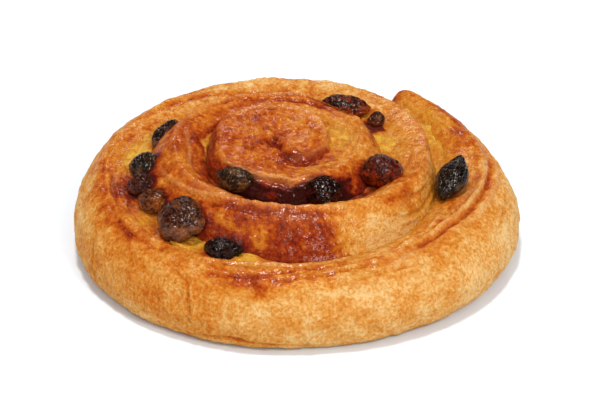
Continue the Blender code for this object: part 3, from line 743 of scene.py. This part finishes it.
browned_and_shade += 0.2 * ease(0.5, 1, np.abs(2 * (column - 2) / (ACROSS - 1) - 1)) * browned_and_shade
# Round each raisin the custard is darker too, partly stain and partly painted contact shade
for name in RAISINS:
    near = near_raisin(points, name)
    browned_and_shade += STAIN_AND_SHADE / 2 * near
    points[:, 2] += COLLAR * on_top * near
set_points(custard, points)
add_layer(custard.data, "browned_and_shade", browned_and_shade)
close_up(custard)

set_custard, tree, shader = new_material("set_custard")
specks = mottle(tree, 0.9, 4)
CUSTARD_BAKED = ((0.0, (224, 174, 58)), (0.2, (210, 141, 36)), (0.4, (200, 116, 28)),
                 (0.6, (188, 90, 24)), (0.8, (150, 54, 16)), (1.0, (92, 28, 12)))
browning = sum_of(tree, (specks, 0.9), (mottle(tree, 2.4), 0.5), (1, -0.7), (attribute(tree, "browned_and_shade"), 1))
colour = ramp(tree, browning, [(at, seen_as(*look)) for at, look in CUSTARD_BAKED])
tree.links.new(colour, shader.inputs["Base Color"])
finish(shader, {
    "Roughness": 0.42, "Specular IOR Level": 0.15, "Coat Weight": 0.6, "Coat IOR": 1.3,
    "Coat Roughness": 0.14, "Subsurface Weight": 0.15, "Subsurface Radius": (0.002, 0.0012, 0.0004),
    "Subsurface Scale": 1.0})
tree.links.new(bump(tree, specks, 0.8), shader.inputs["Normal"])
tree.links.new(bump(tree, mottle(tree, 1.6), 0.5), shader.inputs["Coat Normal"])
custard.data.materials.append(set_custard)
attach(custard, "root")
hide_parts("custard")

# The raisins: dried grapes soaked soft and rolled in with the custard, then swollen and half dried again
# in the oven. Their skins are wrinkled lengthways, sticky and nearly black, brown where light gets in.
# Each one's skin: its dark colour, the colour where it is thin, and how much of it is thin
SKINS = {
    "raisin_back_left": ((26, 12, 8), (112, 70, 44), .45),
    "raisin_left_rear": ((28, 19, 11), (96, 62, 36), .45),
    "raisin_left": ((44, 13, 9), (112, 50, 30), .5),
    "raisin_left_front": ((60, 22, 8), (158, 84, 30), .6),
    "raisin_large": ((50, 18, 11), (136, 78, 44), .5),
    "raisin_dark": ((14, 4, 3), (66, 22, 12), .25),
    "raisin_inner_left": ((34, 20, 11), (116, 74, 40), .45),
    "raisin_inner_front": ((12, 5, 4), (96, 26, 14), .3),
    "raisin_plump": ((56, 10, 4), (150, 48, 16), .55),
    "raisin_rear": ((18, 5, 3), (170, 66, 20), .55),
    "raisin_small": ((40, 13, 8), (124, 56, 22), .45),
    "raisin_right": ((12, 7, 6), (88, 64, 50), .3),
}
# How much each raisin is pinched at its two ends, and those that come to a point
PINCH = 0.16
POINTED = {"raisin_right": 0.4}
FOLD = 0.26             # depth of the few deep folds, and of the many fine wrinkles
WRINKLE = 0.24
PLUMP = 0.1             # the skin between them stands out by this much, and swells by SWELLING more
SWELLING = 0.16
for number, (name, measures) in enumerate(RAISINS.items()):
    deselect()
    bpy.ops.mesh.primitive_uv_sphere_add(segments=120, ring_count=72, radius=0.5,
                                         rotation=(0, math.pi / 2, 0))
    raisin = bpy.context.object
    raisin.name = name + "_fruit"
    bpy.ops.object.transform_apply(location=False, rotation=True, scale=False)
    ball = np.empty(len(raisin.data.vertices) * 3)
    raisin.data.vertices.foreach_get("co", ball)
    sphere = ball.reshape(-1, 3) * 2
    x, y, z = sphere.T
    lump = 1 + 0.05 * np.sin(3.1 * x + 2 * number) + 0.04 * np.sin(4.3 * y - number + 2 * z)
    taper = (1 - 0.12 * x * math.sin(number * 1.7)) * (1.06 - POINTED.get(name, PINCH) * x * x)
    bend = 0.05 * (x * x - 0.4)
    long, broad, thick = measures[3:6]
    shape = np.stack([x / 2 * lump * long, (y / 2 * lump * taper + bend) * broad,
                      z / 2 * lump * taper * thick], 1)
    drawn = shape * (0.35, 1, 1)
    folds = np.exp(-(cloud(drawn, 2.2, 50 + number) / 0.14)**2)
    folds *= ease(-0.3, 0.3, cloud(shape, 3, 60 + number))
    wrinkles = np.exp(-(cloud(drawn, 1.1, 70 + number) / 0.25)**2)
    skin_relief = PLUMP - FOLD * folds - WRINKLE * wrinkles + SWELLING * cloud(shape, 3.2, 90 + number)
    middle, spin = raisin_place(name)
    crown = ease(-0.2, 0.9, (sphere @ spin.T)[:, 2])
    set_points(raisin, (shape + sphere * skin_relief[:, None]) @ spin.T + middle)
    add_layer(raisin.data, "folded", folds)
    add_layer(raisin.data, "crown", crown)
    bpy.ops.object.shade_smooth()

    dark, thin, share = SKINS[name]
    skin, tree, shader = new_material(name + "_skin")
    thinness = sum_of(tree, (mottle(tree, 2.4, 4), 1), (attribute(tree, "crown"), -0.14), (1, 0.07))
    colour = ramp(tree, thinness, [(0.62 - 0.3 * share, seen_as(*dark)),
                                   (0.80 - 0.28 * share, seen_as(*thin))])
    # Painted shade darkens the deep folds
    fold_shade = sum_of(tree, (attribute(tree, "folded"), 0.45))
    colour = blend_colours(tree, fold_shade, colour, seen_as(20, 8, 6))
    # Thin pale lines: painted highlights along the wrinkles' ridges, which the same lines also raise
    ridge_highlight_lines = ramp(tree, mottle(tree, 1.3, 2), THIN_LINES)
    ridge_highlight_look = seen_as(*(v * 1.2 for v in thin))
    colour = blend_colours(tree, sum_of(tree, (ridge_highlight_lines, 0.4)), colour, ridge_highlight_look)
    tree.links.new(colour, shader.inputs["Base Color"])
    sticky = ramp(tree, mottle(tree, 1.5, 3), [(0.36, (0.5, 0.5, 0.5, 1)), (0.5, WHITE)])
    tree.links.new(sticky, shader.inputs["Coat Weight"])
    finish(shader, {
        "Roughness": 0.4, "Specular IOR Level": 0.04, "Coat IOR": 1.45, "Coat Roughness": 0.07,
        "Subsurface Weight": 0.15, "Subsurface Radius": (0.0015, 0.0006, 0.0003), "Subsurface Scale": 1.0})
    skin_height = sum_of(tree, (mottle(tree, 0.6), 0.5), (ridge_highlight_lines, 0.5))
    tree.links.new(bump(tree, skin_height, 0.4), shader.inputs["Normal"])
    gloss_height = sum_of(tree, (mottle(tree, 1.4, 2), 1), (ridge_highlight_lines, 0.08))
    tree.links.new(bump(tree, gloss_height, 0.4), shader.inputs["Coat Normal"])
    raisin.data.materials.append(skin)
    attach(raisin, "root")
    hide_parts(name)

# The studio: a plain white sheet under a pale sky, a large soft lamp in front, four small ones that give
# the glaze its glints, and a camera with a long lens, 30 degrees above the horizon. The sky and the large
# lamp aren't mirrored, so that no grey haze lies over the dark fruit.
deselect()
bpy.ops.mesh.primitive_plane_add(size=6)
floor = bpy.context.object
floor.name = "floor"
white, tree, shader = new_material("white_sheet")
finish(shader, {"Base Color": (0.81, 0.89, 1, 1), "Roughness": 0.9, "Specular IOR Level": 0.1})
floor.data.materials.append(white)

world = bpy.data.worlds.new("sky")
bpy.context.scene.world = world
world.use_nodes = True
finish(world.node_tree.nodes["Background"], {"Color": (1, 0.99, 0.97, 1), "Strength": 0.56})
world.cycles_visibility.glossy = False


LIT_POINT = (0, 0, 0.015)


def soft_light(name, place, size, power, colour, mirrored=True):
    """A round lamp of the given size in metres that shines at the middle of the coil."""
    lamp = bpy.data.lights.new(name, "AREA")
    lamp.shape = "DISK"
    lamp.size = size
    lamp.energy = power
    lamp.color = colour
    made = bpy.data.objects.new(name, lamp)
    made.location = place
    made.visible_glossy = mirrored
    towards = Vector(LIT_POINT) - Vector(place)
    made.rotation_euler = towards.to_track_quat("-Z", "Y").to_euler()
    bpy.context.collection.objects.link(made)


soft_light("overhead", (-0.05, -0.05, 0.9), 0.14, 4.2, (1, 0.95, 0.87))
soft_light("front", (0.4, -1.15, 0.8), 1.8, 6.8, (1, 0.98, 0.94), mirrored=False)
soft_light("window", (0.4, -0.62, 0.75), 0.2, 2.6, (1, 0.95, 0.88))
soft_light("left", (-0.5, -0.4, 0.8), 0.12, 0.5, (1, 0.95, 0.87))
soft_light("back", (-0.1, 1.0, 0.65), 0.2, 0.9, (1, 0.96, 0.9))

ELEVATION = 30          # degrees above the horizon
DISTANCE = 550          # millimetres
TARGET = Vector((0.05, -2.93, 10))
# The target falls on this pixel of the photograph's 590 x 400 frame, where 448 pixels span 107 mm
TARGET_PIXEL = (297, 213)
FRAME = (590, 400)
PIXELS_PER_MM = 448 / 107
SENSOR = 36
tilt = math.radians(ELEVATION)
view = Vector((0, math.cos(tilt), -math.sin(tilt)))
rightward = Vector((1, 0, 0))
upward = rightward.cross(view)
aim = TARGET + rightward * (FRAME[0] / 2 - TARGET_PIXEL[0]) / PIXELS_PER_MM
aim -= upward * (FRAME[1] / 2 - TARGET_PIXEL[1]) / PIXELS_PER_MM
lens = bpy.data.cameras.new("camera")
lens.sensor_width = SENSOR
lens.lens = SENSOR * PIXELS_PER_MM * DISTANCE / FRAME[0]
lens.clip_start = 0.01
camera = bpy.data.objects.new("camera", lens)
camera.location = (aim - view * DISTANCE) * MM
camera.rotation_euler = view.to_track_quat("-Z", "Y").to_euler()
bpy.context.collection.objects.link(camera)
bpy.context.scene.camera = camera
bpy.context.scene.view_settings.view_transform = "Standard"
